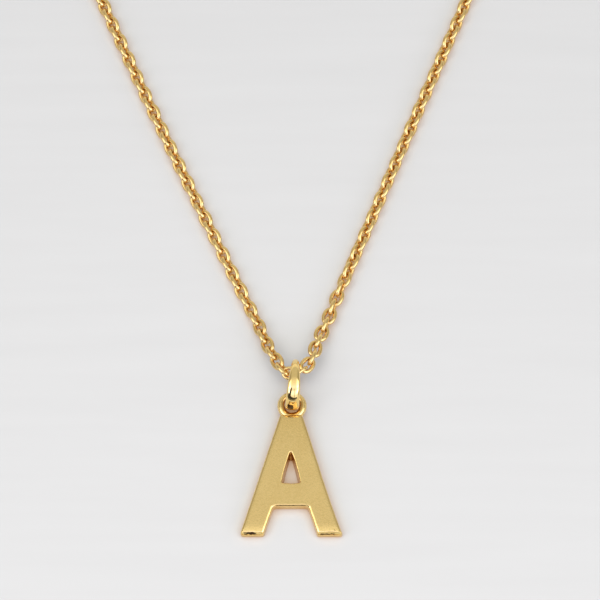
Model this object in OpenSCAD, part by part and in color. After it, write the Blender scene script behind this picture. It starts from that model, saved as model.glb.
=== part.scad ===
// Letter pendant on a trace chain, lying flat as it does on a table.
// The letter's foot points to -Y, the clasp lies at +Y, and the table is Z = 0.

/* [Letter] */
// Height of the letter, foot to top edge
letter_h = 15.15; // [12:0.05:18]
// Width across the two feet
foot_w = 12.4; // [10:0.1:15]
// Width of the flat top edge
top_w = 2.7; // [2.4:0.05:3.6]
// Width of each leg along its foot
leg_w = 2.95; // [2.2:0.05:3.4]
// Height of the crossbar's underside above the feet
bar_low = 3.55; // [2.8:0.05:4.4]
// Height of the crossbar
bar_h = 2.9; // [2:0.05:3.5]
// Height of the opening above the crossbar
counter_h = 4.15; // [3:0.05:4.8]
// Width of that opening at the crossbar
counter_w = 2.34; // [1.8:0.02:2.9]
// Thickness of the letter
letter_t = 1.5; // [1.1:0.1:2]
// Radius of the polished front edges
edge_r = 0.25; // [0.1:0.05:0.35]
// Radius of the letter's outer corners
corner_r = 0.36; // [0.36:0.02:0.6]
// Radius of the inner corners between legs and crossbar
crotch_r = 0.5; // [0.2:0.05:0.8]
// Radius of the corners of the opening
counter_r = 0.1; // [0.05:0.01:0.2]

/* [Eye] */
// Outer diameter of the eye soldered to the letter
eye_d = 3.65; // [3.2:0.05:4.2]
// Thickness of the eye's wire
eye_wire = 0.77; // [0.6:0.01:0.9]
// Depth that the eye sinks into the letter's top edge
eye_sink = 0.55; // [0.4:0.05:0.7]
// Sideways offset of the eye from the letter's axis
eye_shift = 0.1; // [0:0.05:0.3]
// Sideways play that the eye has taken up on the bail
eye_side = 0.05; // [0:0.05:0.2]

/* [Bail] */
// Outer diameter of the bail
bail_d = 6.3; // [5.6:0.1:7]
// Thickness of the bail's band
bail_t = 0.77; // [0.6:0.01:0.9]
// Mean width of the bail's band
bail_w = 1.22; // [1:0.02:1.4]
// How much wider than the mean the band is at its widest
bail_swell = 0.48; // [0:0.02:0.5]
// Turn of the bail seen from above
bail_turn = 4.2; // [0:0.1:5]
// Lean of the upright bail towards the end ring's side of the chain
bail_lean = 2; // [0:0.1:3]

/* [Chain] */
// Thickness of the chain across its links
chain_d = 1.6; // [1.3:0.05:1.8]
// Room between the chain's bend and the bail's inner side
bend_room = 0.2; // [0.15:0.01:0.3]

/* [Clasp] */
// Outer diameter of the ring clasp
clasp_d = 5.7; // [5.2:0.1:7]
// Thickness of the clasp's tube
clasp_wire = 1.1; // [0.9:0.05:1.2]
// Outer diameter of the clasp's small eye
clasp_eye_d = 2.3; // [2:0.05:2.6]
// Wire of the clasp's small eye
clasp_eye_wire = 0.6; // [0.5:0.05:0.7]
// Diameter of the thumb lever's pin
lever_d = 0.6; // [0.4:0.05:0.7]
// Length of the thumb lever outside the clasp's tube
lever_l = 0.9; // [0.6:0.05:1.2]
// Outer diameter of the end ring that the clasp holds
end_ring_d = 4; // [3.8:0.05:4.6]
// Wire of the end ring
end_ring_wire = 0.7; // [0.5:0.05:0.75]

/* [Resting pose] */
// Gap left between metal pieces that touch
gap = 0.08; // [0.05:0.01:0.12]
// Where the eye sits in the bail, from straight down towards the letter
eye_seat = 22; // [15:1:30]
// Lift of the clasp's eye off the table, for the link that passes under it
eye_lift = 0.45; // [0.4:0.05:0.6]
// Tilt of the clasp, its far side lifted by the end ring
clasp_tilt = 7.5; // [7:0.5:12]
// Lean of the end ring up from the table
end_ring_lean = 70; // [65:1:75]
// Distance of the end ring's centre past the clasp's tube
end_ring_past = 0.45; // [0.2:0.05:0.6]

/* [Hidden] */
gold = [0.86, 0.71, 0.36];
satin_gold = [0.82, 0.7, 0.42];

corner_steps = 5;
edge_steps = 3;
bail_steps = 48;
bail_sides = 12;
chain_sides = 8;
chain_ring_step = 5.9;

// The chain's route, clasp side first: x, y and lift off the table
CHAIN_ROUTE = [
    [-19.7, 91, 0], [-30.8, 85.3, 0], [-39.2, 75.3, 0], [-43.8, 62.6, 0], [-45.3, 48.7, 0],
    [-44, 34.3, 0], [-40.5, 20.2, 0], [-35.2, 5.6, 0], [-28.9, -9.1, 0], [-22.4, -24, 0],
    [-15.9, -39, 0], [-9, -53.8, 0], [-3.7, -65, 0], [-2.3, -68.4, 0.3], [-1.1, -71, 0.9],
    [-0.3, -73, 1.5], [0.3, -74.7, 1.8], [1.2, -75.65, 1.9], [2.3, -75.8, 1.9],
    [3.4, -75.65, 1.9], [4.1, -74.7, 1.8], [4.5, -73, 1.5], [5.1, -71, 0.9], [6.1, -68.4, 0.3],
    [7.5, -65, 0], [12.3, -53.4, 0], [18.4, -38.4, 0], [24.3, -24, 0], [30.4, -8.9, 0],
    [36.4, 5.9, 0], [41.3, 20.6, 0], [44.3, 34.8, 0], [45.2, 49.3, 0], [43.5, 63.2, 0],
    [38.7, 75.8, 0], [30.2, 85.6, 0], [19.1, 91.3, 0], [8.6, 92.6, 0.3]
];
apex_row = 18;
// Place of the clasp's centre on the top of the loop
clasp_place = [-2.8, 92.6];

chain_r = chain_d / 2;
apex = CHAIN_ROUTE[apex_row] + [0, 0, chain_r];

// The bail stands on the table, and the chain hangs in its inner side
bail_mid_r = (bail_d - bail_t) / 2;
bail_in_r = bail_d / 2 - bail_t;
bail_z = bail_d / 2;
chain_seat_r = bail_in_r - chain_r - bend_room;
bail_reach = sqrt(chain_seat_r * chain_seat_r - pow(bail_z - apex.z, 2));
bail_x = apex.x - bail_reach * sin(bail_turn);
bail_y = apex.y - bail_reach * cos(bail_turn);

// The eye's far wire sits low in the bail, which sets the letter's tilt
eye_mid_r = (eye_d - eye_wire) / 2;
eye_centre = letter_h + eye_d / 2 - eye_sink;
eye_far = eye_centre + eye_mid_r;
eye_seat_r = bail_in_r - eye_wire / 2 - gap;
eye_far_y = bail_y - eye_seat_r * sin(eye_seat);
eye_far_z = bail_z - eye_seat_r * cos(eye_seat);
letter_tilt = asin(eye_far_z / norm([eye_far, letter_t / 2])) - atan(letter_t / 2 / eye_far);
letter_x = bail_x - eye_seat_r * sin(eye_seat) * sin(bail_turn) - eye_side - eye_shift;
letter_y = eye_far_y - eye_far * cos(letter_tilt) + letter_t / 2 * sin(letter_tilt);

// The chain's first link carries the clasp's eye, and the end ring its other side
clasp_mid_r = (clasp_d - clasp_wire) / 2;
clasp_eye_mid_r = (clasp_eye_d - clasp_eye_wire) / 2;
clasp_eye_out = clasp_d / 2 + clasp_eye_mid_r;
clasp_span = clasp_eye_out + clasp_eye_mid_r;
clasp_z = eye_lift + clasp_eye_wire / 2 + clasp_span * sin(clasp_tilt);
clasp_end_x = clasp_place.x - clasp_span * cos(clasp_tilt) - clasp_eye_wire / 2;
end_ring_mid_r = (end_ring_d - end_ring_wire) / 2;
end_ring_x = clasp_place.x + clasp_mid_r * cos(clasp_tilt) + end_ring_past;
end_ring_z = end_ring_mid_r * sin(end_ring_lean) + end_ring_wire / 2;
end_ring_y = clasp_place.y - (end_ring_z - clasp_z - clasp_mid_r * sin(clasp_tilt)) / tan(end_ring_lean);

// The chain ends two gaps short of the clasp's eye and of the end ring
chain_start = [clasp_end_x - 2 * gap, clasp_place.y, 0];
chain_finish = [end_ring_x + end_ring_d / 2 + 2 * gap, end_ring_y, end_ring_z - chain_r];
ROUTE = [for (p = concat([chain_start], CHAIN_ROUTE, [chain_finish])) p + [0, 0, chain_r]];

function unit(v) = v / norm(v);
function turned(v) = [-v.y, v.x];

// One corner b between a and c, rounded to an arc of radius r
function corner_arc(a, b, c, r, steps) =
    let (to_a = unit(a - b), to_c = unit(c - b))
    let (half = acos(to_a * to_c) / 2)
    let (centre = b + unit(to_a + to_c) * r / sin(half))
    let (from = b + to_a * r / tan(half) - centre)
    let (way = cross(to_a, to_c) > 0 ? -1 : 1)
    [for (k = [0:steps]) let (a = way * (180 - 2 * half) * k / steps)
        centre + [from.x * cos(a) - from.y * sin(a), from.x * sin(a) + from.y * cos(a)]];

// A closed outline of rows [point, radius], with each corner rounded
function rounded(rows, steps) =
    let (n = len(rows))
    [for (i = [0:n - 1])
        each corner_arc(rows[(i + n - 1) % n][0], rows[i][0], rows[(i + 1) % n][0], rows[i][1], steps)];

// The outline moved inwards by d, all its edges by the same distance
function inset(loop, d) =
    let (n = len(loop))
    [for (i = [0:n - 1])
        let (in_normal = turned(unit(loop[i] - loop[(i + n - 1) % n])))
        let (out_normal = turned(unit(loop[(i + 1) % n] - loop[i])))
        loop[i] + (in_normal + out_normal) * d / (1 + in_normal * out_normal)];

// Faces of a stack of closed loops with the same number of points
function stack_faces(loops, n) = concat(
    [[for (i = [0:n - 1]) i]],
    [for (s = [0:loops - 2], i = [0:n - 1])
        [s * n + i, (s + 1) * n + i, (s + 1) * n + (i + 1) % n, s * n + (i + 1) % n]],
    [[for (i = [n - 1:-1:0]) (loops - 1) * n + i]]);

// A plate through sections [height, inset] of one outline
module lofted_plate(loop, sections) {
    points = [for (s = sections, p = inset(loop, s[1])) [p.x, p.y, s[0]]];
    polyhedron(points, stack_faces(len(sections), len(loop)), convexity = 6);
}

// The outer outline of the letter, anticlockwise from the left foot
function letter_outline() =
    let (slope = (foot_w - top_w) / 2 / letter_h)
    let (foot_in = foot_w / 2 - leg_w)
    let (bar_half = foot_in - slope * bar_low)
    rounded([
        [[-foot_w / 2, 0], corner_r],
        [[-foot_in, 0], corner_r],
        [[-bar_half, bar_low], crotch_r],
        [[bar_half, bar_low], crotch_r],
        [[foot_in, 0], corner_r],
        [[foot_w / 2, 0], corner_r],
        [[top_w / 2, letter_h], corner_r],
        [[-top_w / 2, letter_h], corner_r]
    ], corner_steps);

function counter_outline() =
    let (low = bar_low + bar_h)
    rounded([
        [[-counter_w / 2, low], counter_r],
        [[counter_w / 2, low], counter_r],
        [[0, low + counter_h], counter_r]
    ], corner_steps);

// The letter and the eye soldered to its top edge, one piece of metal
module letter() {
    edge = [for (k = [0:edge_steps]) let (a = 90 * k / edge_steps)
        [letter_t - edge_r + edge_r * sin(a), edge_r * (1 - cos(a))]];
    over = edge_r;
    color(satin_gold)
    translate([letter_x, letter_y, 0])
    rotate([letter_tilt, 0, 0]) {
        difference() {
            lofted_plate(letter_outline(), concat([[0, 0]], edge));
            lofted_plate(counter_outline(), [
                [-over, 0],
                [letter_t - edge_r / 2, 0],
                [letter_t, -edge_r / 2],
                [letter_t + over, -edge_r / 2]
            ]);
        }
        translate([eye_shift, eye_centre, letter_t / 2])
        rotate_extrude($fn = 48)
        translate([eye_mid_r, 0])
        circle(d = eye_wire, $fn = 24);
    }
}

// Superellipse section of the bail's band: half width, half thickness
function band_point(a, half_w, half_t) =
    let (p = 0.92)
    [half_w * sign(cos(a)) * pow(abs(cos(a)), p), half_t * sign(sin(a)) * pow(abs(sin(a)), p)];

// The bail, widest on the side that shows, turning round the X axis
module bail() {
    widest_at = 75;
    points = [for (k = [0:bail_steps - 1], j = [0:bail_sides - 1])
        let (around = 360 * k / bail_steps)
        let (half_w = (bail_w + bail_swell * cos(around - widest_at)) / 2)
        let (s = band_point(360 * j / bail_sides, half_w, bail_t / 2))
        let (r = bail_mid_r + s.y)
        [s.x, -r * sin(around), r * cos(around)]];
    faces = [for (k = [0:bail_steps - 1], j = [0:bail_sides - 1])
        let (k2 = (k + 1) % bail_steps, j2 = (j + 1) % bail_sides)
        [k * bail_sides + j, k * bail_sides + j2, k2 * bail_sides + j2, k2 * bail_sides + j]];
    color(gold)
    translate([bail_x, bail_y, 0])
    rotate([0, bail_lean, -bail_turn])
    translate([0, 0, bail_z])
    polyhedron(points, faces, convexity = 4);
}

// A smooth curve through the route's points, t from 0 to 1 between two of them,
// and never lower than the chain lies on the table
function route_at(i, t) =
    let (last = len(ROUTE) - 1)
    let (a = ROUTE[max(i - 1, 0)], b = ROUTE[i], c = ROUTE[i + 1], d = ROUTE[min(i + 2, last)])
    let (near = norm(c - b))
    let (m = (c - a) / (norm(b - a) + near) * near, n = (d - b) / (near + norm(d - c)) * near)
    let (p = b * (2 * t * t * t - 3 * t * t + 1) + m * (t * t * t - 2 * t * t + t)
        + c * (3 * t * t - 2 * t * t * t) + n * (t * t * t - t * t))
    [p.x, p.y, max(p.z, chain_r)];

// The chain's envelope: one tube along the route, its lowest flat on the table
module chain() {
    path = concat(
        [for (i = [0:len(ROUTE) - 2])
            let (steps = ceil(norm(ROUTE[i + 1] - ROUTE[i]) / chain_ring_step))
            for (k = [0:steps - 1]) route_at(i, k / steps)],
        [ROUTE[len(ROUTE) - 1]]);
    rings = len(path);
    corner_r8 = chain_r / cos(180 / chain_sides);
    points = [for (i = [0:rings - 1], j = [0:chain_sides - 1])
        let (along = unit(path[min(i + 1, rings - 1)] - path[max(i - 1, 0)]))
        let (side = unit(cross([0, 0, 1], along)), up = cross(along, side))
        let (a = 360 * (j + 0.5) / chain_sides)
        path[i] + corner_r8 * (side * cos(a) + up * sin(a))];
    color(gold)
    polyhedron(points, stack_faces(rings, chain_sides), convexity = 10);
}

// A round wire ring lying in the XY plane about its own centre
module wire_ring(mid_r, wire) {
    rotate_extrude($fn = 48)
    translate([mid_r, 0])
    circle(d = wire, $fn = 20);
}

// The ring clasp with its soldered eye and thumb lever, closed, one plain piece
module clasp() {
    lever_at = -60;
    lever_end = clasp_mid_r + clasp_wire / 2 + lever_l;
    color(gold)
    translate([clasp_place.x, clasp_place.y, clasp_z])
    rotate([0, -clasp_tilt, 0]) {
        wire_ring(clasp_mid_r, clasp_wire);
        translate([-clasp_eye_out, 0, 0])
        wire_ring(clasp_eye_mid_r, clasp_eye_wire);
        rotate([0, 0, lever_at]) {
            translate([clasp_mid_r, 0, 0])
            rotate([0, 90, 0])
            cylinder(d = lever_d, h = lever_end - clasp_mid_r, $fn = 24);
            translate([lever_end, 0, 0])
            sphere(d = lever_d * 1.3, $fn = 24);
        }
    }
}

// The plain ring on the chain's other end, which passes through the clasp
module end_ring() {
    color(gold)
    translate([end_ring_x, end_ring_y, end_ring_z])
    rotate([end_ring_lean, 0, 0])
    wire_ring(end_ring_mid_r, end_ring_wire);
}

letter();
bail();
chain();
clasp();
end_ring();
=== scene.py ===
import math

import bpy
import numpy as np
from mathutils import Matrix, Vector, geometry, noise


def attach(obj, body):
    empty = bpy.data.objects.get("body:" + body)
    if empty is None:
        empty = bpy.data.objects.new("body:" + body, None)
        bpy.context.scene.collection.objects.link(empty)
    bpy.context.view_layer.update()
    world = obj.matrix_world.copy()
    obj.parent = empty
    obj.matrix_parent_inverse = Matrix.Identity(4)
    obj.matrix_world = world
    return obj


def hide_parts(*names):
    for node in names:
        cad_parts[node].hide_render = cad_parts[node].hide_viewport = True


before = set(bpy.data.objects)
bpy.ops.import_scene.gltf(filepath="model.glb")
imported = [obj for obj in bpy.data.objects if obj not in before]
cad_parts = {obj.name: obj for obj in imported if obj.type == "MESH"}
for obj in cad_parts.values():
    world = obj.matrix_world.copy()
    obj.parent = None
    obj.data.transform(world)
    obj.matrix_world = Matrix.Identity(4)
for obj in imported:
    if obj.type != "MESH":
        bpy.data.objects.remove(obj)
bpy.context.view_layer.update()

MM = 0.001


def add_object(name, data):
    """A new object in the scene."""
    made = bpy.data.objects.new(name, data)
    bpy.context.scene.collection.objects.link(made)
    return made


# Camera at the photograph's viewing angle
CAMERA_AIM = Vector((3.083, -64.771, 0)) * MM
CAMERA_ELEVATION = math.radians(69)
CAMERA_DISTANCE = 500 * MM
CAMERA_LENS = 241.1

camera_data = bpy.data.cameras.new("camera")
camera_data.sensor_width = 36
camera_data.lens = CAMERA_LENS
camera_data.clip_start = 0.01
camera_data.clip_end = 20
camera = add_object("camera", camera_data)
camera.location = CAMERA_AIM + CAMERA_DISTANCE * Vector(
    (0, -math.cos(CAMERA_ELEVATION), math.sin(CAMERA_ELEVATION)))
camera.rotation_euler = (math.pi / 2 - CAMERA_ELEVATION, 0, 0)
bpy.context.scene.camera = camera
bpy.context.scene.view_settings.view_transform = "Standard"


# Sizes of the CAD model that the pieces repeat, in millimetres and degrees
LETTER_PLACE = (2.0019, -95.6463, 0)
LETTER_TILT = 2.00456
LETTER_H = 15.15
LETTER_T = 1.5
FOOT_HALF = 6.2
FOOT_IN = 3.25
TOP_HALF = 1.35
BAR_LOW = 3.55
COUNTER_LOW = 6.45
COUNTER_HALF = 1.17
COUNTER_TOP = 10.6
EYE_CENTRE = (0.1, 16.425, 0.75)
EYE_MID_R = 1.44
EYE_WIRE_R = 0.385
BAIL_PLACE = (2.2045, -77.1011, 0)
BAIL_TURN = 4.2
BAIL_LEAN = 2
BAIL_R = 3.15
BAIL_MID_R = 2.765
BAIL_W = 1.22
BAIL_SWELL = 0.48
BAIL_T = 0.77
CLASP_PLACE = (-2.8, 92.6, 1.34389)
CLASP_TILT = 7.5
CLASP_MID_R = 2.3
CLASP_WIRE_R = 0.55
CLASP_EYE_AT = 3.7
CLASP_EYE_MID_R = 0.85
CLASP_EYE_WIRE_R = 0.3
LEVER_AT = -60
END_RING_PLACE = (-0.06968, 92.50664, 1.90049)
END_RING_LEAN = 70
END_RING_MID_R = 1.65
END_RING_WIRE_R = 0.35


def rotation(axis, degrees):
    """A 3 x 3 turn about one of the axes 0, 1 or 2."""
    c, s = math.cos(math.radians(degrees)), math.sin(math.radians(degrees))
    i, j = (axis + 1) % 3, (axis + 2) % 3
    m = np.eye(3)
    m[i, i], m[i, j], m[j, i], m[j, j] = c, -s, s, c
    return m


def clamp(value):
    return min(1.0, max(0.0, value))


def bump(value, middle, reach):
    """1 at the middle, falling smoothly to 0 on both sides."""
    return np.exp(-((value - middle) / reach) ** 2)


def add_piece(name, points, faces, material, node, marks=None):
    """A smooth mesh piece from points in millimetres, which replaces a CAD node.

    Marks are numbers for each point that its material reads: painted shade, polish and painted dark marks."""
    mesh = bpy.data.meshes.new(name)
    mesh.from_pydata((np.asarray(points) * MM).tolist(), [], faces)
    for mark, values in (marks or {}).items():
        attribute = mesh.attributes.new(mark, "FLOAT", "POINT")
        attribute.data.foreach_set("value", np.asarray(values, np.float32))
    mesh.materials.append(material)
    mesh.shade_smooth()
    mesh.validate()
    piece = add_object(name, mesh)
    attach(piece, "root")
    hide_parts(node)
    return piece


class Solid:
    """Points, faces and marks of one piece, gathered part by part."""

    def __init__(self):
        self.points = []
        self.faces = []
        self.marks = {"painted_shade": [], "polish": [], "painted_dark": []}
        self.count = 0

    def add(self, points, faces, painted_shade=0.0, polish=0.0, painted_dark=0.0):
        points = np.asarray(points, float)
        self.points.append(points)
        self.faces += [tuple(self.count + i for i in face) for face in faces]
        for mark, value in (("painted_shade", painted_shade), ("polish", polish), ("painted_dark", painted_dark)):
            self.marks[mark].append(np.broadcast_to(np.asarray(value, float), len(points)))
        self.count += len(points)

    def placed(self, turn, place):
        return np.vstack(self.points) @ turn.T + np.array(place)

    def all_marks(self):
        return {mark: np.concatenate(values) for mark, values in self.marks.items()}


def ring_faces(rings, sides, closed):
    """Quads of a tube of rings, and flat caps unless it closes on itself."""
    faces = []
    for i in range(rings if closed else rings - 1):
        k = (i + 1) % rings
        for j in range(sides):
            j2 = (j + 1) % sides
            faces.append((i * sides + j, k * sides + j, k * sides + j2, i * sides + j2))
    if not closed:
        faces.append(tuple(range(sides)))
        faces.append(tuple((rings - 1) * sides + j for j in range(sides - 1, -1, -1)))
    return faces


def tube(centres, out, across, radii, sides=24, closed=True):
    """A round tube: centres with two unit vectors across it and a radius at each."""
    turn = np.linspace(0, 2 * math.pi, sides, endpoint=False)
    radii = np.broadcast_to(np.asarray(radii, float), len(centres))
    ring = out[:, None] * np.cos(turn)[None, :, None] + across[:, None] * np.sin(turn)[None, :, None]
    points = centres[:, None] + ring * radii[:, None, None]
    return points.reshape(-1, 3), ring_faces(len(centres), sides, closed)


def circle_tube(mid_r, radii, start=0, stop=360, steps=96, sides=24):
    """A tube along a circle in the XY plane, whole or an arc in degrees."""
    closed = stop - start == 360
    angle = np.radians(np.linspace(start, stop, steps, endpoint=not closed))
    out = np.stack([np.cos(angle), np.sin(angle), np.zeros(steps)], 1)
    across = np.tile([0.0, 0.0, 1.0], (steps, 1))
    return tube(out * mid_r, out, across, radii, sides, closed)


# Materials
class Nodes:
    """Short calls for one node tree."""

    def __init__(self, tree):
        self.tree = tree
        tree.nodes.clear()

    def add(self, kind, **values):
        node = self.tree.nodes.new(kind)
        for key, value in values.items():
            if key in node.inputs:
                node.inputs[key].default_value = value
            else:
                setattr(node, key, value)
        return node

    def link(self, source, target):
        self.tree.links.new(source, target)

    def math(self, operation, a, b=0.0, c=0.0):
        node = self.add("ShaderNodeMath", operation=operation)
        for socket, value in zip(node.inputs, (a, b, c)):
            if isinstance(value, (int, float)):
                socket.default_value = value
            else:
                self.link(value, socket)
        return node.outputs[0]

    def step(self, value, low, high):
        """0 at low, 1 at high and smooth between, also where low is the larger number."""
        node = self.add("ShaderNodeMapRange", interpolation_type="SMOOTHSTEP")
        node.inputs["From Min"].default_value = low
        node.inputs["From Max"].default_value = high
        self.link(value, node.inputs["Value"])
        return node.outputs["Result"]

    def mix(self, factor, a, b):
        """A number between a and b."""
        return self.math("MULTIPLY_ADD", factor, self.math("SUBTRACT", b, a), a)

    def ramp(self, factor, stops):
        node = self.add("ShaderNodeValToRGB")
        self.link(factor, node.inputs["Fac"])
        elements = node.color_ramp.elements
        while len(elements) < len(stops):
            elements.new(0.5)
        for element, (position, color) in zip(elements, stops):
            element.position = position
            element.color = (*color, 1)
        return node.outputs["Color"]

    def noise(self, vector, scale, detail=2.0, roughness=0.5):
        node = self.add("ShaderNodeTexNoise")
        node.inputs["Scale"].default_value = scale
        node.inputs["Detail"].default_value = detail
        node.inputs["Roughness"].default_value = roughness
        self.link(vector, node.inputs["Vector"])
        return node.outputs["Fac"]


def new_material(name):
    """A material and the short calls for its nodes."""
    material = bpy.data.materials.new(name)
    material.use_nodes = True
    return material, Nodes(material.node_tree)


# Features per millimetre of the gold's colour drift, its slight wave and the ragged edge of the painted dark
# marks
DRIFT_SCALE = 0.45
WAVE_SCALE = 1.1
RAGGED_SCALE = 3.2
# How far the drift, the grain and the painted shade of crevices move the colour along its ramp, and where
# they start from
DRIFT_SHARE = 0.08
GRAIN_SHARE = 0.24
PAINTED_SHADE_SHARE = 0.56
RAMP_START = -0.06
# The share of the drift in the uneven polish, and the roughness of a polished edge
POLISH_DRIFT = 0.4
EDGE_ROUGHNESS = 0.12
# Colour of the painted dark marks: reflection lines on the letter's edges, shade in the counter's top corner
# and a reflection on the bail
PAINTED_DARK_COLOR = (0.06, 0.032, 0.014)


def gold(name, pale, deep, painted_shade_gold, rough, grain, grain_height, wave_height):
    """A gold surface: slow colour drift, uneven polish, fine grain and a slight wave.

    The marks paint shade into its crevices, smooth its polished edges and paint ragged dark marks of shade
    and reflection.
    Rough is the least and the greatest roughness, grain is in features per millimetre, and
    heights are in millimetres."""
    material, n = new_material(name)
    coordinates = n.add("ShaderNodeTexCoord").outputs["Object"]
    scaled = n.add("ShaderNodeMapping")
    scaled.inputs["Scale"].default_value = (1 / MM, 1 / MM, 1 / MM)
    n.link(coordinates, scaled.inputs["Vector"])
    place = scaled.outputs["Vector"]

    slow = n.noise(place, DRIFT_SCALE, 3, 0.55)
    fine = n.noise(place, grain, 3, 0.6)
    wave = n.noise(place, WAVE_SCALE, 1, 0.4)
    # Painted shade: the colour darkens where the gold lies in crevices and recesses
    painted_shade = n.add("ShaderNodeAttribute", attribute_name="painted_shade").outputs["Fac"]
    edge_polish = n.add("ShaderNodeAttribute", attribute_name="polish").outputs["Fac"]
    # Painted dark reflection and shade, with a ragged edge
    painted_dark = n.add("ShaderNodeAttribute", attribute_name="painted_dark").outputs["Fac"]
    ragged = n.math("ADD", painted_dark, n.math("SUBTRACT", n.noise(place, RAGGED_SCALE, 2, 0.6), 0.5))

    shader = n.add("ShaderNodeBsdfPrincipled")
    shader.inputs["Metallic"].default_value = 1
    depth = n.math("MULTIPLY_ADD", slow, DRIFT_SHARE, n.math("MULTIPLY_ADD", fine, GRAIN_SHARE, RAMP_START))
    depth = n.math("MULTIPLY_ADD", painted_shade, PAINTED_SHADE_SHARE, depth)
    depth = n.math("ADD", depth, n.step(ragged, 0.4, 0.6))
    stops = [(0.08, pale), (0.16, deep), (0.8, painted_shade_gold), (0.95, PAINTED_DARK_COLOR)]
    n.link(n.ramp(depth, stops), shader.inputs["Base Color"])
    unevenness = n.math(
        "ADD", n.math("MULTIPLY", slow, POLISH_DRIFT), n.math("MULTIPLY", fine, 1 - POLISH_DRIFT))
    roughness = n.add("ShaderNodeMapRange")
    roughness.inputs["From Min"].default_value = 0.3
    roughness.inputs["From Max"].default_value = 0.7
    roughness.inputs["To Min"].default_value = rough[0]
    roughness.inputs["To Max"].default_value = rough[1]
    n.link(unevenness, roughness.inputs["Value"])
    n.link(n.mix(edge_polish, roughness.outputs["Result"], EDGE_ROUGHNESS), shader.inputs["Roughness"])

    wave_bump = n.add("ShaderNodeBump")
    wave_bump.inputs["Distance"].default_value = wave_height * MM
    n.link(wave, wave_bump.inputs["Height"])
    grain_bump = n.add("ShaderNodeBump")
    grain_bump.inputs["Distance"].default_value = grain_height * MM
    n.link(fine, grain_bump.inputs["Height"])
    n.link(wave_bump.outputs["Normal"], grain_bump.inputs["Normal"])
    n.link(grain_bump.outputs["Normal"], shader.inputs["Normal"])
    output = n.add("ShaderNodeOutputMaterial")
    n.link(shader.outputs["BSDF"], output.inputs["Surface"])
    return material


letter_gold = gold(
    "letter_gold", pale=(0.94, 0.69, 0.277), deep=(0.845, 0.603, 0.219), painted_shade_gold=(0.5, 0.26, 0.07),
    rough=(0.2, 0.28), grain=4.5, grain_height=0.011, wave_height=0.0025)
polished_gold = gold(
    "polished_gold", pale=(0.96, 0.7, 0.27), deep=(0.94, 0.66, 0.235), painted_shade_gold=(0.62, 0.32, 0.08),
    rough=(0.05, 0.09), grain=6, grain_height=0.0006, wave_height=0.004)
chain_gold = gold(
    "chain_gold", pale=(0.88, 0.62, 0.24), deep=(0.84, 0.58, 0.22), painted_shade_gold=(0.64, 0.35, 0.12),
    rough=(0.15, 0.21), grain=8, grain_height=0.0015, wave_height=0.002)


# The letter
ARC_STEPS = 10
EDGE_STEP = 0.1
GRID_STEP = 0.35
BACK_R = 0.1
BACK_STEPS = 4
# Width of the flat between the back's rounded rim and its filled face
BACK_FLAT = 0.04
# Where the sides have a row of points, as shares of the thickness
SIDE_SHARES = (0.25, 0.45, 0.65)
# Distances from the outline, first along the rim's rows and then over the face
RIM_ROWS = [0, 0.004, 0.015, 0.034, 0.06, 0.095, 0.14, 0.19]
FACE_ROWS = [0.25, 0.32, 0.4, 0.52, 0.7, 0.9, 1.1]
# Reach and depth of the rounded rim: along the sides, the counter, the crossbar's underside and the feet
SIDE_RIM = (0.42, 0.3)
COUNTER_RIM = (0.17, 0.14)
BAR_RIM = (0.16, 0.12)
FOOT_RIM = (0.08, 0.07)
# The face rolls down towards the feet, which end in an uneven filed flat
ROLL_LENGTH = 1.3
ROLL_DROP = 0.16
FLAT_SLOPE = math.radians(54)
FLAT_UNEVEN = math.radians(9)
FOOT_FLAT = 0.27
BAR_FLAT = 0.12
# How far the sides spread towards the back, and by which share and about which point the counter narrows
SPREAD = 0.06
COUNTER_TAPER = 0.24
COUNTER_MIDDLE = np.array([0, COUNTER_LOW + 0.886])
# Edges below these heights belong to the feet and to the crossbar's underside
FOOT_ZONE = 1
BAR_ZONE = COUNTER_LOW - 1
# Painted shade of the outer sides and of the counter's, and the sides' polish
OUTER_PAINTED_SHADE = 0.4
COUNTER_PAINTED_SHADE = 1.35
SIDE_POLISH = 0.7
# The face is a little deeper in colour towards the eye: from which height, and how much each millimetre
DEEPER_FROM = 9.5
DEEPER_RISE = 0.02
# Painted dark reflection lines along the filed edges: distance and half width from the outline, first and
# last x
LEFT_DARK_LINE = (0.05, 0.03, -5.85, -4.0)
RIGHT_DARK_LINE = (0.06, 0.055, 3.45, 5.5)
BAR_DARK_LINE = (0.05, 0.035, -2.0, 2.0)
# Where the left foot's painted dark line bulges, how far each way, and what that adds to its distance and
# half width
DARK_LINE_BULGE = (-4.8, 0.5, 0.1, 0.09)
# The painted dark reflection line on the right foot: first and last distance from the outline, its x and
# slope, half width
SLANT = (0.35, 0.65, 5.55, 0.9, 0.1)


def facing_feet(normal):
    """1 on an edge that faces the letter's foot end, 0 on one that faces another way."""
    return clamp((-normal[1] - 0.55) / 0.35)


def unit(v):
    return v / np.linalg.norm(v)


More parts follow.
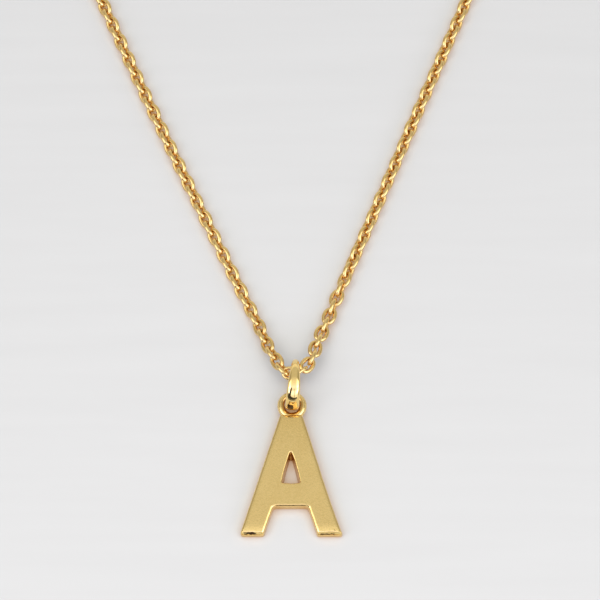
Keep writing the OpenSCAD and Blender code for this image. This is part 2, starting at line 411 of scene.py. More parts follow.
def rounded_outline(rows):
    """Points and outward normals of a closed outline of rows (x, y, corner radius).

    The solid lies on the left, so a hole is listed clockwise."""
    corners = []
    count = len(rows)
    for i in range(count):
        a, b, c = (np.array(rows[k % count][:2], float) for k in (i - 1, i, i + 1))
        d1, d2 = unit(b - a), unit(c - b)
        n1, n2 = np.array([d1[1], -d1[0]]), np.array([d2[1], -d2[0]])
        sweep = math.atan2(d1[0] * d2[1] - d1[1] * d2[0], d1 @ d2)
        way = 1 if sweep > 0 else -1
        centre = b - way * (n1 + n2) * rows[i][2] / (1 + n1 @ n2)
        first = math.atan2(n1[1], n1[0])
        arc = []
        for angle in np.linspace(first, first + sweep, ARC_STEPS + 1):
            normal = np.array([math.cos(angle), math.sin(angle)])
            arc.append((centre + way * rows[i][2] * normal, normal))
        corners.append(arc)
    points, normals = [], []
    for i, arc in enumerate(corners):
        for point, normal in arc:
            points.append(point)
            normals.append(normal)
        start, normal = arc[-1]
        end = corners[(i + 1) % count][0][0]
        pieces = max(1, round(np.linalg.norm(end - start) / EDGE_STEP))
        for k in range(1, pieces):
            points.append(start + (end - start) * k / pieces)
            normals.append(normal)
    return np.array(points), np.array(normals)


def rim_drop(distance, reach, depth):
    """How far the rounded rim lies below the face, at a distance from the outline."""
    left = max(0.0, 1 - distance / reach)
    return depth * (1 - math.sqrt(1 - left * left))


def front_drop(x, y, distance, normal, reach, depth):
    """How far the front lies below its highest level at a point near an outline point's normal."""
    near = facing_feet(normal)
    foot = near if y < FOOT_ZONE else 0.0
    bar = near if FOOT_ZONE <= y < BAR_ZONE else 0.0
    for part, (part_reach, part_depth) in ((foot, FOOT_RIM), (bar, BAR_RIM)):
        reach += part * (part_reach - reach)
        depth += part * (part_depth - depth)
    drop = rim_drop(distance, reach, depth * (1 + 0.16 * uneven(x, y, 1.3, 4.0)))
    drop += ROLL_DROP * max(0.0, 1 - y / ROLL_LENGTH) ** 2.2
    flat = foot * FOOT_FLAT * (1 + 0.3 * uneven(x, 0, 0.9, 5.0)) + bar * BAR_FLAT
    slope = FLAT_SLOPE + FLAT_UNEVEN * uneven(x, 1.6 * y, 3.6, 9.0)
    return drop + max(0.0, flat - distance) * math.tan(slope)


def painted_dark_lines(x, y, distance, normal):
    """How dark the painted reflection line along the filed edge is: along both feet, most at the left one,
    and under the crossbar.
    """
    near = facing_feet(normal)
    if y >= BAR_ZONE:
        return 0.0
    if y >= FOOT_ZONE:
        middle, half, first, last = BAR_DARK_LINE
        strength = 0.7
    elif x < 0:
        middle, half, first, last = LEFT_DARK_LINE
        place, reach, deeper, wider = DARK_LINE_BULGE
        bulge = bump(x, place, reach)
        middle += deeper * bulge + 0.09 * uneven(x, 0, 2.4, 11.0)
        half += wider * bulge
        strength = 0.88
    else:
        middle, half, first, last = RIGHT_DARK_LINE
        strength = 0.62 + 0.5 * uneven(x, 0, 2.9, 17.0)
        nearest, furthest, slant_x, slope, slant_half = SLANT
        if nearest < distance < furthest and near > 0:
            slant = abs(x - slant_x + slope * (distance - 0.2))
            return 0.95 * max(0.0, 1 - slant / slant_half)
    within = clamp(min(x - first, last - x) / 0.2)
    depth = clamp((half - abs(distance - middle)) / 0.04 + 0.5)
    return near * within * depth * strength


# Deeper colour towards the eye, growing with height
def deeper_near_eye(y):
    return DEEPER_RISE * max(0.0, y - DEEPER_FROM)


def uneven(x, y, scale, seed):
    """A smooth number between about -1 and 1 that drifts over the surface."""
    return noise.noise(Vector((x * scale, y * scale, seed)))


def wall(solid, points, normals, rim, painted_shade, counter):
    """The back rim, the sides and the front rim along an outline; returns its first and last rows."""
    count = len(points)
    rows = [(0.0, BACK_R + BACK_FLAT)]
    for a in np.linspace(0, math.pi / 2, BACK_STEPS + 1):
        rows.append((BACK_R * (1 - math.cos(a)), BACK_R * (1 - math.sin(a))))
    rows += [(LETTER_T * share, 0.0) for share in SIDE_SHARES]
    grid, marks = [], []
    for height, inset in rows:
        low = 1 - height / LETTER_T
        for point, normal in zip(points, normals):
            if counter:
                x, y = point - normal * inset - COUNTER_TAPER * low * (point - COUNTER_MIDDLE)
            else:
                x, y = point - normal * (inset - SPREAD * low)
            grid.append((x, y, height))
            # Painted shade: the counter's top corner is dark down its sides
            in_tip = abs(x) < 0.5 and y < COUNTER_TOP + 0.5
            tip = clamp((y - COUNTER_TOP + 0.22) / 0.2) if in_tip else 0.0
            # Painted shade on the sides, deeper towards the back
            marks.append((painted_shade * low ** 0.4, SIDE_POLISH, tip))
    for inset in RIM_ROWS:
        for point, normal in zip(points, normals):
            x, y = point - normal * inset
            drop = front_drop(x, y, inset, normal, *rim)
            grid.append((x, y, LETTER_T - drop))
            # Painted shade on the rim, deeper where it drops towards the side
            shade = painted_shade * (drop / LETTER_T) ** 0.6 * max(0.0, 1 - inset / 0.1)
            polish = max(0.0, 1 - inset / rim[0] * 0.8)
            marks.append((max(shade, deeper_near_eye(y)), polish, painted_dark_lines(x, y, inset, normal)))
    grid, marks = np.array(grid), np.array(marks)
    first = solid.count
    total = len(rows) + len(RIM_ROWS)
    faces = []
    for r in range(total - 1):
        for i in range(count):
            k = (i + 1) % count
            faces.append((r * count + i, r * count + k, (r + 1) * count + k, (r + 1) * count + i))
    solid.add(grid, faces, *marks.T)
    grid = grid.reshape(total, count, 3)
    return grid[0], first, grid[-1], first + (total - 1) * count


def inside(point, loop):
    """Whether a point lies in a closed outline, by the edges that cross the line to its right."""
    x, y = point
    a, b = loop[:, :2], np.roll(loop[:, :2], -1, 0)
    crosses = (a[:, 1] > y) != (b[:, 1] > y)
    a, b = a[crosses], b[crosses]
    at = a[:, 0] + (y - a[:, 1]) / (b[:, 1] - a[:, 1]) * (b[:, 0] - a[:, 0])
    return np.count_nonzero(at > x) % 2 == 1


def fill(solid, loops, outlines, front):
    """The back or the front face, joined to the last rows of the two walls.

    Each outline is its points, its normals and its rim; the front's points follow it in rows."""
    flat, index, edges = [], [], []
    for points, first in loops:
        start = len(flat)
        count = len(points)
        flat += [Vector(p[:2]) for p in points]
        index += [first + i for i in range(count)]
        edges += [(start + i, start + (i + 1) % count) for i in range(count)]
    border = np.vstack([points for points, _, _ in outlines])
    normals = np.vstack([normals for _, normals, _ in outlines])
    rims = [rim for points, _, rim in outlines for _ in points]

    def nearest(spot):
        gaps = np.hypot(border[:, 0] - spot[0], border[:, 1] - spot[1])
        k = int(np.argmin(gaps))
        return gaps[k], k

    rows = FACE_ROWS if front else []
    spots = [p for inset in rows for p in border - normals * inset if nearest(p)[0] > inset * 0.985]
    low, high = border.min(0), border.max(0)
    edge = (rows or [0.2])[-1] + 0.1
    spots += [(gx, gy) for gx in np.arange(low[0], high[0], GRID_STEP)
              for gy in np.arange(low[1], high[1], GRID_STEP) if nearest((gx, gy))[0] > edge]
    flat += [Vector(p) for p in spots]
    index += [None] * len(spots)

    found, _, faces, origins, _, _ = geometry.delaunay_2d_cdt(flat, edges, [], 0, 1e-6)
    found = np.array([list(p) for p in found])
    middles = [found[list(face)].mean(0) for face in faces]
    faces = [face for face, middle in zip(faces, middles)
             if inside(middle, loops[0][0]) and not inside(middle, loops[1][0])]
    places, new_points, marks = {}, [], []
    for i in sorted({i for face in faces for i in face}):
        origin = origins[i][0] if origins[i] else None
        if origin is not None and index[origin] is not None:
            places[i] = index[origin]
            continue
        x, y = found[i]
        distance, k = nearest((x, y))
        places[i] = solid.count + len(new_points)
        drop = front_drop(x, y, distance, normals[k], *rims[k])
        new_points.append((x, y, LETTER_T - drop if front else 0.0))
        polish = max(0.0, 1 - distance / rims[k][0] * 0.8, 0.6 - y / ROLL_LENGTH)
        marks.append((deeper_near_eye(y), polish, painted_dark_lines(x, y, distance, normals[k]) if front else 0.0))
    solid.add(new_points, [], *np.array(marks).T)
    solid.faces += [tuple(places[i] for i in (face if front else reversed(face))) for face in faces]


# The hand finish: how far the outline and the face waver, in millimetres and waves for each millimetre
OUTLINE_WAVER = (0.018, 0.7)
FACE_WAVER = (0.01, 0.45)
# How much lower the face lies, so that it doesn't waver above the CAD model's
FACE_LOWER = 0.006
# How far the counter's lower edge sags and its sides bow outwards, and how far from them that reaches
COUNTER_SAG = 0.09
COUNTER_BOW = 0.42
BOW_REACH = 0.4
# How far the right leg bows inwards, its foot's corner sticks out, and the left leg is slimmer at its foot
LEG_BOW = 0.1
CORNER_OUT = 0.14
LEG_SLIMMER = 0.11
# Radii of the outline's corners: at the feet, between the leg and the crossbar, at the top and the counter
FOOT_CORNER_R = 0.26
CROTCH_R = 0.5
TOP_CORNER_R = 0.36
COUNTER_CORNER_R = 0.12
COUNTER_TIP_R = 0.1
COUNTER_TIP_X = -0.05
# The eye's solder: how thick it is built up on the wire, and the reach of its fillet on the top edge
SOLDER_BUILD = 0.12
SOLDER_REACH = 0.2
EYE_STEPS = 128
EYE_SIDES = 32


def hand_finished(points):
    """The slight unevenness of a small cast and hand-filed piece."""
    out = points.copy()
    waver, often = OUTLINE_WAVER
    face_waver, face_often = FACE_WAVER
    for i, (x, y, z) in enumerate(points):
        out[i, 0] += waver * uneven(x, y, often, 1.0)
        out[i, 1] += waver * uneven(x, y, often, 2.0)
        if z > LETTER_T / 2:
            out[i, 2] += face_waver * uneven(x, y, face_often, 3.0) - FACE_LOWER
            sag = max(0.0, 1 - abs(x) / COUNTER_HALF) * max(0.0, 1 - abs(y - COUNTER_LOW) / 0.5)
            out[i, 1] -= COUNTER_SAG * sag
        height = (y - COUNTER_LOW) / (COUNTER_TOP - COUNTER_LOW)
        if 0 < height < 1:
            side = COUNTER_HALF * (1 - height)
            bow = COUNTER_BOW * height * (1 - height) * bump(abs(x), side, BOW_REACH)
            out[i, 0] += math.copysign(bow, x)
        out[i, 0] -= LEG_BOW * bump(y, 5.5, 4.5) * clamp(x / 3)
        out[i, 0] += CORNER_OUT * bump(y, 0, 0.4) * clamp((x - 4.8) / 1.3)
        if x < 0:
            out[i, 0] -= LEG_SLIMMER * max(0.0, 1 - y / BAR_LOW) ** 0.5 * clamp((x + 5.2) / 1.5)
    return out


def build_letter():
    solid = Solid()
    bar_half = FOOT_IN - (FOOT_HALF - TOP_HALF) / LETTER_H * BAR_LOW
    outer = rounded_outline([
        (-FOOT_HALF, 0, FOOT_CORNER_R), (-FOOT_IN, 0, FOOT_CORNER_R),
        (-bar_half, BAR_LOW, CROTCH_R), (bar_half, BAR_LOW, CROTCH_R),
        (FOOT_IN, 0, FOOT_CORNER_R), (FOOT_HALF, 0, FOOT_CORNER_R),
        (TOP_HALF, LETTER_H, TOP_CORNER_R), (-TOP_HALF, LETTER_H, TOP_CORNER_R)])
    counter = rounded_outline([
        (-COUNTER_HALF, COUNTER_LOW, COUNTER_CORNER_R), (COUNTER_TIP_X, COUNTER_TOP, COUNTER_TIP_R),
        (COUNTER_HALF, COUNTER_LOW, COUNTER_CORNER_R)])
    outlines = [(*outer, SIDE_RIM), (*counter, COUNTER_RIM)]
    walls = [
        wall(solid, *outer, SIDE_RIM, OUTER_PAINTED_SHADE, False),
        wall(solid, *counter, COUNTER_RIM, COUNTER_PAINTED_SHADE, True)]
    fill(solid, [(back, first) for back, first, _, _ in walls], outlines, False)
    fill(solid, [(last_row, last) for _, _, last_row, last in walls], outlines, True)
    solid.points = [hand_finished(np.vstack(solid.points))]

    # The eye's wire, filled out by solder all round but on its far side
    around = np.linspace(0, 2 * math.pi, EYE_STEPS, endpoint=False)
    filled = SOLDER_BUILD * np.clip(0.75 - np.sin(around), 0, 1)
    points, faces = circle_tube(EYE_MID_R, EYE_WIRE_R + filled, steps=EYE_STEPS, sides=EYE_SIDES)
    shift = np.repeat(filled, EYE_SIDES) / EYE_MID_R
    inward = np.clip((EYE_MID_R - np.hypot(points[:, 0], points[:, 1])) / EYE_WIRE_R, 0, 1)
    for i, (x, y, z) in enumerate(points):
        points[i, :2] *= 1 - shift[i] + 0.006 * uneven(x, y, 0.8, 7.0)
    joint = np.clip(-points[:, 1] / EYE_MID_R - 0.2, 0, 1)
    # Painted shade darkens the eye's inner side
    solid.add(points + np.array(EYE_CENTRE), faces, 1.25 * inward ** 0.6, np.maximum(inward, joint))
    solid.add(*solder_fillet())
    points = solid.placed(rotation(0, LETTER_TILT), LETTER_PLACE)
    return add_piece("letter_a", points, solid.faces, letter_gold, "letter", solid.all_marks())


def solder_fillet(levels=6, around=64):
    """The solder that fills the corner between the eye's wire and the letter's top edge."""
    points = []
    for k in range(levels):
        a = math.pi / 2 * k / (levels - 1)
        rise = SOLDER_REACH * (1 - math.cos(a))
        spread = SOLDER_REACH * (1 - math.sin(a))
        above = EYE_CENTRE[1] - LETTER_H - rise
        end = math.sqrt((EYE_MID_R + EYE_WIRE_R) ** 2 - above ** 2)
        for t in np.linspace(0, 2 * math.pi, around, endpoint=False):
            x = end * math.cos(t)
            off = math.hypot(x, above) - EYE_MID_R
            z = math.sqrt(max(EYE_WIRE_R ** 2 - off ** 2, 0.0))
            side = math.sin(t)
            points.append((
                EYE_CENTRE[0] + x,
                LETTER_H - 0.01 + rise,
                EYE_CENTRE[2] + math.copysign(z, side) + spread * side))
    return points, ring_faces(levels, around, False)


# The bail
BAIL_STEPS = 200
BAIL_SIDES = 40
# Degrees around the bail from its top to where its band is widest, on the front
BAIL_WIDEST_AT = 75
# Power of the band's rounded section, which is an ellipse at 1
BAIL_POWER = 0.92
# The painted dark reflection on the bail's outer side: left and right edge in millimetres, first and last
# angle, and how soft its edges are
PAINTED_PATCH = (-0.64, 0.22, 70, 95)
PAINTED_PATCH_SOFT = (0.12, 3)


def build_bail():
    points, painted_dark = [], []
    for around in np.linspace(0, 360, BAIL_STEPS, endpoint=False):
        half_w = (BAIL_W + BAIL_SWELL * math.cos(math.radians(around - BAIL_WIDEST_AT))) / 2
        sine, cosine = math.sin(math.radians(around)), math.cos(math.radians(around))
        for turn in np.linspace(0, 2 * math.pi, BAIL_SIDES, endpoint=False):
            across = half_w * math.copysign(abs(math.cos(turn)) ** BAIL_POWER, math.cos(turn))
            r = BAIL_MID_R + BAIL_T / 2 * math.copysign(abs(math.sin(turn)) ** BAIL_POWER, math.sin(turn))
            points.append((across, -r * sine, r * cosine))
            # Painted dark reflection on the outer side
            painted_dark.append(painted_patch(across, around) if math.sin(turn) > 0 else 0.0)
    turn = rotation(2, -BAIL_TURN) @ rotation(1, BAIL_LEAN)
    points = (np.array(points) + (0, 0, BAIL_R)) @ turn.T + np.array(BAIL_PLACE)
    faces = [face[::-1] for face in ring_faces(BAIL_STEPS, BAIL_SIDES, True)]
    return add_piece("ring_bail", points, faces, polished_gold, "bail", {"painted_dark": painted_dark})


def painted_patch(across, around):
    """A painted dark reflection on the bail's outer side, where it passes through the eye."""
    left, right, first, last = PAINTED_PATCH
    inside_x = min(across - left, right - across) / PAINTED_PATCH_SOFT[0]
    inside_turn = min(around - first, last - around) / PAINTED_PATCH_SOFT[1]
    return clamp(inside_x) * clamp(inside_turn)


# The chain, laid along the CAD model's route
LINK_WIRE = 0.52
LINK_HALF_L = 0.95
LINK_HALF_W = 0.65
# Power of the links' oval, which is an ellipse at 2
LINK_POWER = 2.3
LINK_STEPS = 36
LINK_SIDES = 12
# How much each link's soldered seam is thicker, and its half length in radians around the link
SEAM = (0.06, 0.14)
# The first and last links and the two inside the bail are slimmer
SLIM_WIRE = 0.42
# Distances between joints, from the bail outwards along each strand, and beyond what the photo shows
LEFT_PITCHES = [1.375] * 8 + [1.334] * 36
RIGHT_PITCHES = [1.298] * 4 + [1.32] * 5 + [1.297] * 7 + [1.314] * 12 + [1.3] * 16
HIDDEN_PITCH = 1.31

# x, y and lift off the table, from the clasp to the bail and from the bail to the end ring
LEFT_ROUTE = [
    (-19.7, 91, 0), (-30.8, 85.3, 0), (-39.2, 75.3, 0), (-43.8, 62.6, 0), (-45.3, 48.7, 0),
    (-44, 34.3, 0), (-40.5, 20.2, 0), (-35.2, 5.6, 0), (-28.85, -9.1, 0), (-22.33, -23.97, 0),
    (-15.73, -39, 0), (-8.94, -53.8, 0), (-3.66, -65.07, 0), (-2.08, -68.4, 0.3), (-0.95, -71.35, 0.87),
    (-0.33, -72.6, 1.32)]
RIGHT_ROUTE = [
    (5.45, -70.4, 0.7), (6.3, -68.4, 0.3), (7.57, -65.02, 0.04), (12.36, -53.35, 0), (18.23, -38.95, 0),
    (24.4, -23.92, 0), (30.36, -8.9, 0), (36.4, 5.9, 0), (41.3, 20.6, 0), (44.3, 34.8, 0),
    (45.2, 49.3, 0), (43.5, 63.2, 0), (38.7, 75.8, 0), (30.2, 85.6, 0), (19.1, 91.3, 0),
    (8.6, 92.6, 0.34)]
# Height of the links' own middle on the table, and where the links meet in the bail's inner side
LINK_MIDDLE = 0.74
CLASP_JOINT = (-6.88, 92.6, 0.875)
END_JOINT = (1.21, 92.507, 1.9)
BAIL_JOINTS = [
    (0.56, -74.34, 2.45), (1.38, -75.38, 2.69), (2.52, -75.64, 2.83), (3.63, -74.83, 2.72),
    (4.34, -73.87, 2.5), (4.81, -72.63, 2.14), (5.11, -71.41, 1.89)]
# Roll in degrees of the links that lie flattest, by their count from the last one before the bail
ROLL_AT = [0, 1, 2, 3, 4, 5, 6, 8, 10, 12, 14, 16, 18]
ROLLS = [38, 34, 23, 23, 19, 18, 13, 4, -4, -12, -24, -38, -45]
# Roll of the first and the last link, and how many links turn from there to the rolls above
END_ROLLS = (90, 20)
END_TURNS = (25, 30)
# How much the rolls, in degrees, and the links' sizes, as shares, vary from link to link
ROLL_SPREAD = 2.0
SIZE_SPREAD = 0.004
CHAIN_SEED = 11


def smooth_path(points):
    """Close points on a smooth curve through the given ones."""
    points = np.array(points, float)
    last = len(points) - 1
    path = []
    for i in range(last):
        a, b, c, d = (points[k] for k in (max(i - 1, 0), i, i + 1, min(i + 2, last)))
        near = np.linalg.norm(c - b)
        m = (c - a) / (np.linalg.norm(b - a) + near) * near
        n = (d - b) / (near + np.linalg.norm(d - c)) * near
        for t in np.linspace(0, 1, 40, endpoint=False):
            path.append(b * (2 * t ** 3 - 3 * t * t + 1) + m * (t ** 3 - 2 * t * t + t)
                        + c * (3 * t * t - 2 * t ** 3) + n * (t ** 3 - t * t))
    return np.array([*path, points[last]])


def joints_along(path, pitches, rest):
    """Joints along the path: first at the given pitches, then evenly at about rest."""
    along = np.concatenate([[0], np.cumsum(np.linalg.norm(np.diff(path, axis=0), axis=1))])
    places = list(np.cumsum([0, *pitches]))
    left = along[-1] - places[-1]
    count = round(left / rest)
    places += [places[-1] + left * (k + 1) / count for k in range(count)]
    return np.stack([np.interp(places, along, path[:, k]) for k in range(3)], 1)


def chain_joints():
    """All the points where two links meet, and the index of the last link before the bail."""
    lifted = [np.array(route, float) + (0, 0, LINK_MIDDLE) for route in (LEFT_ROUTE, RIGHT_ROUTE)]
    left = smooth_path([BAIL_JOINTS[0], *lifted[0][::-1], CLASP_JOINT])
    right = smooth_path([BAIL_JOINTS[-1], *lifted[1], END_JOINT])
    left = joints_along(left, LEFT_PITCHES, HIDDEN_PITCH)[::-1]
    right = joints_along(right, RIGHT_PITCHES, HIDDEN_PITCH)
    return np.vstack([left, BAIL_JOINTS[1:-1], right]), len(left) - 2


def link_shape(wire):
    """One link about its own middle, X along it and Y across it, and the painted shade of each point, deepest
    on its inner side near its ends.
    """
    t = np.linspace(0, 2 * math.pi, LINK_STEPS, endpoint=False)
    x = LINK_HALF_L * np.sign(np.cos(t)) * np.abs(np.cos(t)) ** (2 / LINK_POWER)
    y = LINK_HALF_W * np.sign(np.sin(t)) * np.abs(np.sin(t)) ** (2 / LINK_POWER)
    centres = np.stack([x, y, np.zeros(LINK_STEPS)], 1)
    ahead = np.roll(centres, -1, 0) - np.roll(centres, 1, 0)
    ahead /= np.linalg.norm(ahead, axis=1)[:, None]
    out = np.stack([ahead[:, 1], -ahead[:, 0], np.zeros(LINK_STEPS)], 1)
    across = np.tile([0.0, 0.0, 1.0], (LINK_STEPS, 1))
    seam = 1 + SEAM[0] * bump(t, math.pi / 2, SEAM[1])
    points, faces = tube(centres, out, across, wire / 2 * seam, LINK_SIDES)
    inward = np.clip(-np.cos(np.linspace(0, 2 * math.pi, LINK_SIDES, endpoint=False)), 0, 1)
    near_end = 0.5 + 0.5 * (x / LINK_HALF_L) ** 2
    return points, faces, (near_end[:, None] * inward).ravel()


def placed_link(points, start, end, roll):
    """A link's points between two joints, turned by roll about the line through them."""
    along = unit(end - start)
    side = unit(np.cross((0.0, 0.0, 1.0), along))
    wide = math.cos(roll) * side + math.sin(roll) * np.cross(along, side)
    return points @ np.stack([along, wide, np.cross(along, wide)]) + (start + end) / 2


def build_chain():
    joints, last_left = chain_joints()
    count = len(joints) - 1
    shape, faces, painted_shade = link_shape(LINK_WIRE)
    slim_shape = link_shape(SLIM_WIRE)[0]
    slim = (0, last_left + 2, last_left + 3, count - 1)
    rng = np.random.default_rng(CHAIN_SEED)
    # Every second link stands across its neighbours
    upright = 90 * ((np.arange(count) - last_left) % 2)
    key_at = [0, END_TURNS[0], *(last_left + k for k in ROLL_AT), count - 1 - END_TURNS[1], count - 1]
    keys = [END_ROLLS[0] - upright[0], ROLLS[0], *ROLLS, ROLLS[-1], END_ROLLS[1] - upright[-1]]
    rolls = np.interp(np.arange(count), key_at, keys) + upright
    rows, sunk = [], []
    for i in range(count):
        roll = math.radians(rolls[i] + rng.normal(0, ROLL_SPREAD))
        size = 1 + rng.normal(0, SIZE_SPREAD)
        points = slim_shape if i in slim else shape
        rows.append(placed_link(points * size, joints[i], joints[i + 1], roll))
        sunk.append(max(0.0, -rows[i][:, 2].min()))
    # A link that would sink into the floor is lifted clear of it, and its neighbours with it
    for i in range(count):
        rows[i][:, 2] += max(sunk[max(0, i - 1):i + 2])
    half = count // 2
    for name, part in (("chain_links_left", rows[:half]), ("chain_links_right", rows[half:])):
        all_faces = [tuple(k * len(shape) + i for i in face) for k in range(len(part)) for face in faces]
        # Painted shade on the links' inner sides, where they meet
        marks = {"painted_shade": np.tile(painted_shade, len(part))}
        add_piece(name, np.vstack(part), all_faces, chain_gold, "chain", marks)


# The clasp and the end ring
# Half the clasp's mouth in degrees, and the inner sleeve that closes it: radius and overlap in degrees
MOUTH_HALF = 26
SLEEVE_R = 0.33
SLEEVE_OVERLAP = 8
# How much thinner the wire is than in the CAD model, so that the lips beside the mouth stand out
WIRE_THINNER = 0.03
# The lips and the rounded ends of the wire: height in millimetres, degrees from the end, reach in degrees
LIP = (0.05, 3.5, 2.5)
WIRE_END = (-0.12, 0, 1.2)
# The lever's pin with its collar: distance from the clasp's middle and radius
LEVER_PROFILE = [
    (2.6, 0.42), (2.86, 0.42), (2.9, 0.38), (2.9, 0.27), (3.3, 0.26), (3.42, 0.33),
    (3.55, 0.4), (3.75, 0.41), (3.9, 0.36), (4.0, 0.25), (4.04, 0.1)]
# Where the end ring's seam is, and half its width, in degrees
RING_SEAM_AT = 60
RING_SEAM_HALF = 0.8


def build_clasp():
    solid = Solid()
    steps = 120
    along = np.linspace(0, 1, steps)
    from_end = np.minimum(along, 1 - along) * (360 - 2 * MOUTH_HALF)
    lip = sum(height * bump(from_end, place, reach) for height, place, reach in (LIP, WIRE_END))
    radii = CLASP_WIRE_R - WIRE_THINNER + lip
    solid.add(*circle_tube(CLASP_MID_R, radii, MOUTH_HALF, 360 - MOUTH_HALF, steps, 32))
    sleeve = MOUTH_HALF + SLEEVE_OVERLAP
    solid.add(*circle_tube(CLASP_MID_R, SLEEVE_R, -sleeve, sleeve, 40, 24))

    eye, faces = circle_tube(CLASP_EYE_MID_R, CLASP_EYE_WIRE_R, steps=72, sides=24)
    solid.add(eye - (CLASP_EYE_AT, 0, 0), faces)

    centres = np.array([(x, 0.0, 0.0) for x, _ in LEVER_PROFILE])
    out = np.tile([0.0, 1.0, 0.0], (len(centres), 1))
    across = np.tile([0.0, 0.0, 1.0], (len(centres), 1))
    pin, faces = tube(centres, out, across, [r for _, r in LEVER_PROFILE], 24, False)
    solid.add(pin @ rotation(2, LEVER_AT).T, faces)
    points = solid.placed(rotation(1, -CLASP_TILT), CLASP_PLACE)
    return add_piece("ring_clasp", points, solid.faces, polished_gold, "clasp")


def build_end_ring():
    first = RING_SEAM_AT + RING_SEAM_HALF
    last = RING_SEAM_AT + 360 - RING_SEAM_HALF
    points, faces = circle_tube(END_RING_MID_R, END_RING_WIRE_R, first, last, 96, 24)
    points = points @ rotation(0, END_RING_LEAN).T + np.array(END_RING_PLACE)
    return add_piece("end_jump_ring", points, faces, polished_gold, "end_ring")


# Floor and light
FLOOR_SIZE = 8.0
# The board's colour, lighter near and darker far: a painted falloff of the light
FLOOR_NEAR = (0.323, 0.321, 0.303)
FLOOR_FAR = (0.253, 0.252, 0.236)
FLOOR_DROP = 0.01 * MM
# Streaks in the board: features per metre along X, Y and Z, and their share of its shade
STREAK_SCALE = (40, 400, 400)
STREAK_SHARE = 0.2
# Painted glow: the gold's warm light, given off by the board itself, by how open the board is to the sky
# there
PAINTED_GOLD_GLOW = [(0.0, (0.2, 0.09, 0.025)), (0.2, (0.34, 0.16, 0.03)), (0.45, (0.235, 0.112, 0.022)),
             (0.8, (0.045, 0.022, 0.004)), (1.0, (0, 0, 0))]
# How far around a place the gold covers it, in millimetres, and how much painted shade darkens the board's
# colour beneath it
COVER_REACH = 1.6
PAINTED_COVER_SHADE = 0.42
# Where the board's painted falloff of light runs from near to far, in metres
SHADE_NEAR = -0.105
SHADE_FAR = 0.095
# The dark card on the board, in front of the letter: left, right, far and near edges in metres
CARD = (-0.4, 0.02, -0.123, -0.6)
CARD_RISE = 0.02 * MM
# The studio's light from the far horizon over the top to the near one: degrees, strength, share of blue
STUDIO = [
    (-90, 0.95, 1.0), (-73, 0.92, 1.0), (-66, 0.63, 1.0), (-19, 0.63, 1.0), (-8, 0.8, 1.0), (2, 0.98, 1.0),
    (12, 1.08, 1.05), (20, 1.15, 1.2), (27, 1.35, 1.35), (33, 1.35, 1.35), (40, 1.1, 1.2), (46, 1.3, 1.3),
    (51, 1.8, 1.35), (62, 1.8, 1.35), (68, 1.25, 1.25), (90, 1.1, 1.1)]
# How bright the sides are beside the middle: on the far half, on the near half, and low down
FAR_SIDES = 0.6
NEAR_SIDES = 2.1
LOW_SIDES = 0.35
# Where these sides begin and are full, by how far a direction points sideways
FAR_SIDES_AT = (0.4, 0.8)
NEAR_SIDES_AT = (0.35, 0.6)
LOW_SIDES_AT = (0.5, 0.8)
# Degrees above the horizon where the low sides end, and degrees from the top where the far half ends
LOW_SIDES_END = (14, 28)
FAR_HALF_END = (-16, -4)
# Gaps between the near lights: degrees from the middle, half width, depth
GAPS = [(-30, 11, 0.98), (6, 4, 0.4)]
# Degrees above the horizon where the gaps end, and shares of their half width where their edges run
GAPS_END = (50, 58)
GAP_EDGES = (1.15, 0.9)
# The dark near horizon: its height in degrees from right to left, and where it changes, starts and ends
HORIZON_RISE = (8, 18)
HORIZON_CHANGE = (10, -30)
HORIZON_LEFT = (-58, -44)
HORIZON_RIGHT = (34, 22)
# How soft the dark horizon's upper edge is, in radians, and how bright it is
HORIZON_EDGE = (0.02, -0.01)
HORIZON_STRENGTH = 0.05
# The broad soft light over the board: watts, size and place in metres
KEY_POWER = 58
KEY_SIZE = 2.2
KEY_PLACE = (-0.14, -0.28, 1.5)
# The plain grey that the camera sees behind the board
BACKGROUND = (0.72, 0.72, 0.72)


def flat_mesh(name, left, right, far, near):
    mesh = bpy.data.meshes.new(name)
    mesh.from_pydata([(left, near, 0), (right, near, 0), (right, far, 0), (left, far, 0)], [], [(0, 1, 2, 3)])
    return mesh


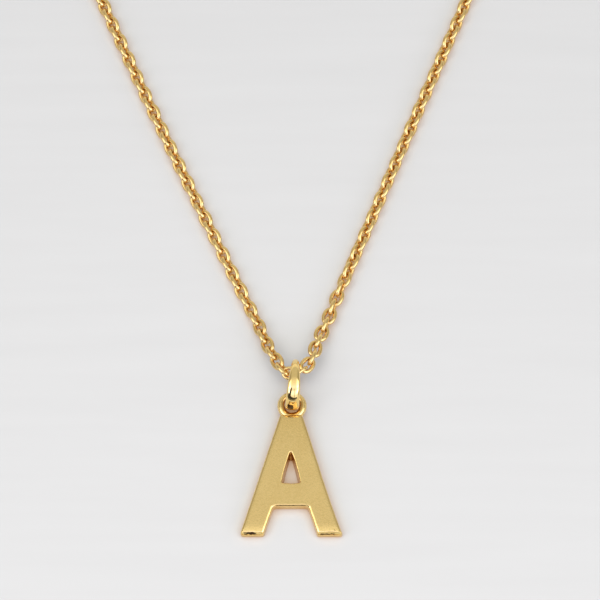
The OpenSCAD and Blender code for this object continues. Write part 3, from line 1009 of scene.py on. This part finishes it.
def build_floor():
    half = FLOOR_SIZE / 2
    mesh = flat_mesh("floor", -half, half, half, -half)
    material, n = new_material("board")
    place = n.add("ShaderNodeTexCoord").outputs["Object"]
    stretched = n.add("ShaderNodeMapping")
    stretched.inputs["Scale"].default_value = STREAK_SCALE
    n.link(place, stretched.inputs["Vector"])
    streaks = n.noise(stretched.outputs["Vector"], 1.0, 3, 0.5)
    split = n.add("ShaderNodeSeparateXYZ")
    n.link(place, split.inputs["Vector"])
    # Painted falloff of light: the board darkens from near to far
    shade = n.add("ShaderNodeMapRange")
    shade.inputs["From Min"].default_value = SHADE_NEAR
    shade.inputs["From Max"].default_value = SHADE_FAR
    n.link(split.outputs["Y"], shade.inputs["Value"])
    tone = n.math("MULTIPLY", shade.outputs["Result"], 1 - STREAK_SHARE)
    tone = n.math("MULTIPLY_ADD", streaks, STREAK_SHARE, tone)
    shader = n.add("ShaderNodeBsdfPrincipled")
    shader.inputs["Roughness"].default_value = 1
    shader.inputs["Specular IOR Level"].default_value = 0
    color = n.ramp(tone, [(0.1, FLOOR_NEAR), (0.9, FLOOR_FAR)])
    covered = n.add("ShaderNodeAmbientOcclusion", samples=8)
    covered.inputs["Distance"].default_value = COVER_REACH * MM
    n.link(color, covered.inputs["Color"])
    # Painted shade: the board's colour darkens where the gold covers it
    cover = n.math("MULTIPLY", n.step(covered.outputs["AO"], 0.9, 0.3), PAINTED_COVER_SHADE)
    shaded = n.add("ShaderNodeMix", data_type="RGBA")
    n.link(cover, shaded.inputs[0])
    n.link(color, shaded.inputs[6])
    n.link(covered.outputs["Color"], shaded.inputs[7])
    n.link(shaded.outputs[2], shader.inputs["Base Color"])
    # Painted glow: the board gives off the gold's warm light where the gold covers it
    n.link(n.ramp(covered.outputs["AO"], PAINTED_GOLD_GLOW), shader.inputs["Emission Color"])
    shader.inputs["Emission Strength"].default_value = 1
    output = n.add("ShaderNodeOutputMaterial")
    n.link(shader.outputs["BSDF"], output.inputs["Surface"])
    mesh.materials.append(material)
    floor = add_object("floor", mesh)
    floor.location = (0, 0, -FLOOR_DROP)


def build_card():
    """A dark card in front of the letter, which shows in the metal's reflections alone."""
    mesh = flat_mesh("dark_card", *CARD)
    material, n = new_material("dark_card")
    shader = n.add("ShaderNodeBsdfPrincipled")
    shader.inputs["Base Color"].default_value = (0.03, 0.028, 0.026, 1)
    shader.inputs["Roughness"].default_value = 0.9
    output = n.add("ShaderNodeOutputMaterial")
    n.link(shader.outputs["BSDF"], output.inputs["Surface"])
    mesh.materials.append(material)
    card = add_object("dark_card", mesh)
    card.location = (0, 0, CARD_RISE)
    card.visible_camera = False
    card.visible_diffuse = False
    card.visible_shadow = False


def build_key():
    """A broad soft light, which brightens the board and isn't mirrored in the metal."""
    data = bpy.data.lights.new("key", "AREA")
    data.energy = KEY_POWER
    data.size = KEY_SIZE
    key = add_object("key", data)
    key.location = KEY_PLACE
    key.rotation_euler = Vector(KEY_PLACE).to_track_quat("Z", "Y").to_euler()
    key.visible_camera = False
    key.visible_glossy = False


def build_sky():
    """A soft studio: a grey far side, near lights with gaps between them, and a dark near horizon."""
    world = bpy.data.worlds.new("studio")
    world.use_nodes = True
    bpy.context.scene.world = world
    n = Nodes(world.node_tree)
    way = n.add("ShaderNodeSeparateXYZ")
    n.link(n.add("ShaderNodeTexCoord").outputs["Generated"], way.inputs["Vector"])
    x, y, z = way.outputs
    near = n.math("MULTIPLY", y, -1.0)
    tilt = n.math("MULTIPLY_ADD", n.math("ARCTAN2", near, z), 1 / math.pi, 0.5)
    rise = n.math("ARCSINE", z)
    turn = n.math("ARCTAN2", x, near)
    tone = n.ramp(tilt, [(degrees / 180 + 0.5, (s, s, s * blue)) for degrees, s, blue in STUDIO])

    def over(value, ends):
        """0 at the first and 1 at the last of two angles in degrees."""
        return n.step(value, math.radians(ends[0]), math.radians(ends[1]))

    off_middle = n.math("ABSOLUTE", x)
    far_sides = n.mix(n.step(off_middle, *FAR_SIDES_AT), 1.0, FAR_SIDES)
    near_sides = n.mix(n.step(off_middle, *NEAR_SIDES_AT), 1.0, NEAR_SIDES)
    low_sides = n.mix(n.step(off_middle, *LOW_SIDES_AT), 1.0, LOW_SIDES)
    near_sides = n.mix(over(rise, LOW_SIDES_END), low_sides, near_sides)
    near_half = n.step(tilt, *(0.5 + degrees / 180 for degrees in FAR_HALF_END))
    strength = n.mix(near_half, far_sides, near_sides)
    below_top = n.math("SUBTRACT", 1.0, over(rise, GAPS_END))
    for middle, half, depth in GAPS:
        off = n.math("ABSOLUTE", n.math("SUBTRACT", turn, math.radians(middle)))
        shut = n.math("MULTIPLY", over(off, [half * share for share in GAP_EDGES]), below_top)
        strength = n.mix(shut, strength, n.math("MULTIPLY", strength, 1 - depth))
    horizon = n.mix(over(turn, HORIZON_CHANGE), *HORIZON_RISE)
    above = n.math("SUBTRACT", rise, n.math("MULTIPLY", horizon, math.pi / 180))
    low = n.step(above, *HORIZON_EDGE)
    dark = n.math("MULTIPLY", over(turn, HORIZON_LEFT), over(turn, HORIZON_RIGHT))
    strength = n.mix(n.math("MULTIPLY", low, dark), strength, HORIZON_STRENGTH)
    background = n.add("ShaderNodeBackground")
    n.link(tone, background.inputs["Color"])
    n.link(strength, background.inputs["Strength"])
    plain = n.add("ShaderNodeBackground", Color=(*BACKGROUND, 1))
    seen = n.add("ShaderNodeMixShader")
    n.link(n.add("ShaderNodeLightPath").outputs["Is Camera Ray"], seen.inputs[0])
    n.link(background.outputs["Background"], seen.inputs[1])
    n.link(plain.outputs["Background"], seen.inputs[2])
    output = n.add("ShaderNodeOutputWorld")
    n.link(seen.outputs["Shader"], output.inputs["Surface"])


build_letter()
build_bail()
build_chain()
build_clasp()
build_end_ring()
build_floor()
build_card()
build_key()
build_sky()
